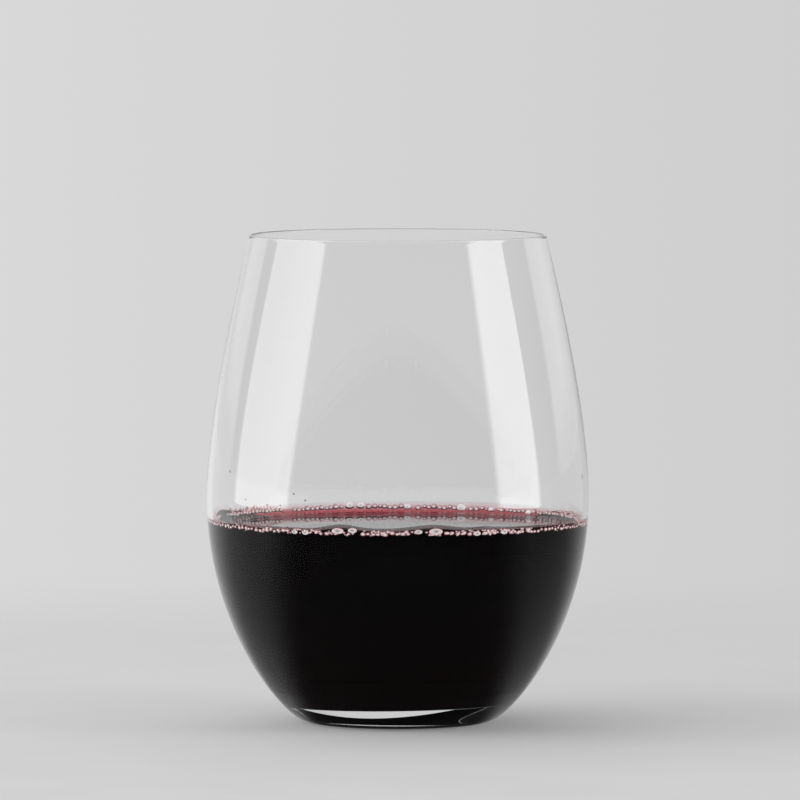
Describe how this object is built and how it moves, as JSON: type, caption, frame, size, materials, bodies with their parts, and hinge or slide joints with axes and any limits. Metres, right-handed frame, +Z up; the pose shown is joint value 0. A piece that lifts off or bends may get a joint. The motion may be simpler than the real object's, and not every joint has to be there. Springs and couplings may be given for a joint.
{
  "type": "stemless wine glass",
  "caption": "Clear stemless wine glass with a full belly, a narrower thin rim and a thick flat base, half full of red wine with a collar of bubbles along its edge.",
  "frame": {"origin": "middle of the foot, on the surface that the glass stands on", "axes": "+Z up along the axis of the glass, -Y towards the picture's viewpoint, +X to its right"},
  "size_m": [0.0972, 0.0972, 0.124],
  "materials": {
    "clear_glass": "polished",
    "red_wine": "gloss",
    "wine_bubble": "gloss"
  },
  "bodies": {
    "glass": {"glass": "clear_glass", "wall_drops": "red_wine"},
    "wine": {"wine": "red_wine", "bubble_collar": "wine_bubble", "large_bubbles": "wine_bubble"}
  },
  "joints": [
    {"name": "wine_swirl", "type": "hinge", "parent": "glass", "child": "wine", "pos_m": [0, 0, 0.03], "axis": [0, 0, 1], "continuous": true}
  ]
}
